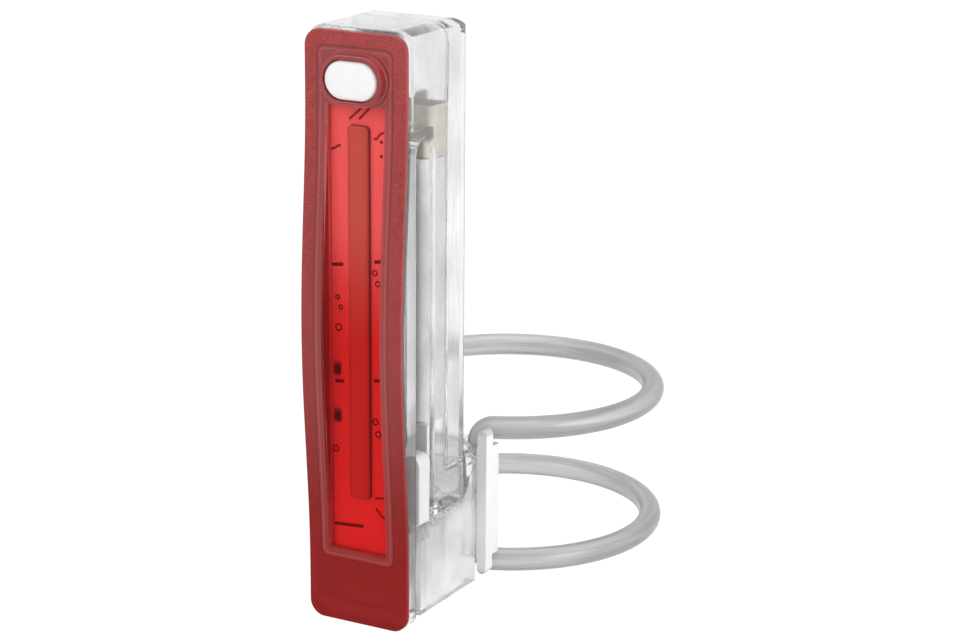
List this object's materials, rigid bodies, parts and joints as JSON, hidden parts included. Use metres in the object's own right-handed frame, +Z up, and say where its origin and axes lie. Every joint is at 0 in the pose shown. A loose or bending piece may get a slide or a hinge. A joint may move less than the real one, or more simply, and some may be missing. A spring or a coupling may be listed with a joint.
{
  "type": "bike rear light",
  "caption": "Slim red rear light folded into an upside-down U, in a clear cradle with an endless strap round a seat post.",
  "frame": {"origin": "on the seat post's axis, halfway up the strap", "axes": "+Z up along the post, -Y the way the lens faces, +X across the lamp"},
  "size_m": [0.0404, 0.0601, 0.0729],
  "materials": {
    "red_lens": "clear red polycarbonate",
    "white_silicone": "matte silicone",
    "seal_silicone": "matte silicone",
    "steel": "satin",
    "black_plastic": "matte",
    "clear_plastic": "clear polycarbonate",
    "white_board": "white solder mask",
    "light_gel": "satin gel",
    "amber_film": "polyimide film",
    "cell_foil": "satin foil",
    "foam": "soft foam",
    "grey_silicone": "satin silicone"
  },
  "bodies": {
    "cradle": {"mount_cradle": "clear_plastic", "strap": "grey_silicone"},
    "lamp": {"front_lens": "red_lens", "button_boot": "seal_silicone", "switch_body": "steel", "case_front": "clear_plastic", "rear_cover": "clear_plastic", "led_board": "white_board", "led_bar": "light_gel", "board_resistors": "black_plastic", "main_flex": "white_board", "battery_cell": "cell_foil", "battery_tabs": "steel", "battery_board": "white_board", "battery_tape": "amber_film", "battery_pad": "foam", "charge_board": "white_board", "charge_chips": "black_plastic", "charge_socket": "steel", "socket_tongue": "black_plastic", "socket_gasket": "seal_silicone"},
    "push_button": {"button": "white_silicone", "switch_plunger": "black_plastic"}
  },
  "joints": [
    {"name": "lamp_lift", "type": "slide", "parent": "cradle", "child": "lamp", "axis": [0, 0, 1], "range_m": [0, 0.03]},
    {"name": "button_press", "type": "slide", "parent": "lamp", "child": "push_button", "axis": [0, 1, 0], "range_m": [0, 0.0002], "stiffness_N_per_m": 2000}
  ]
}
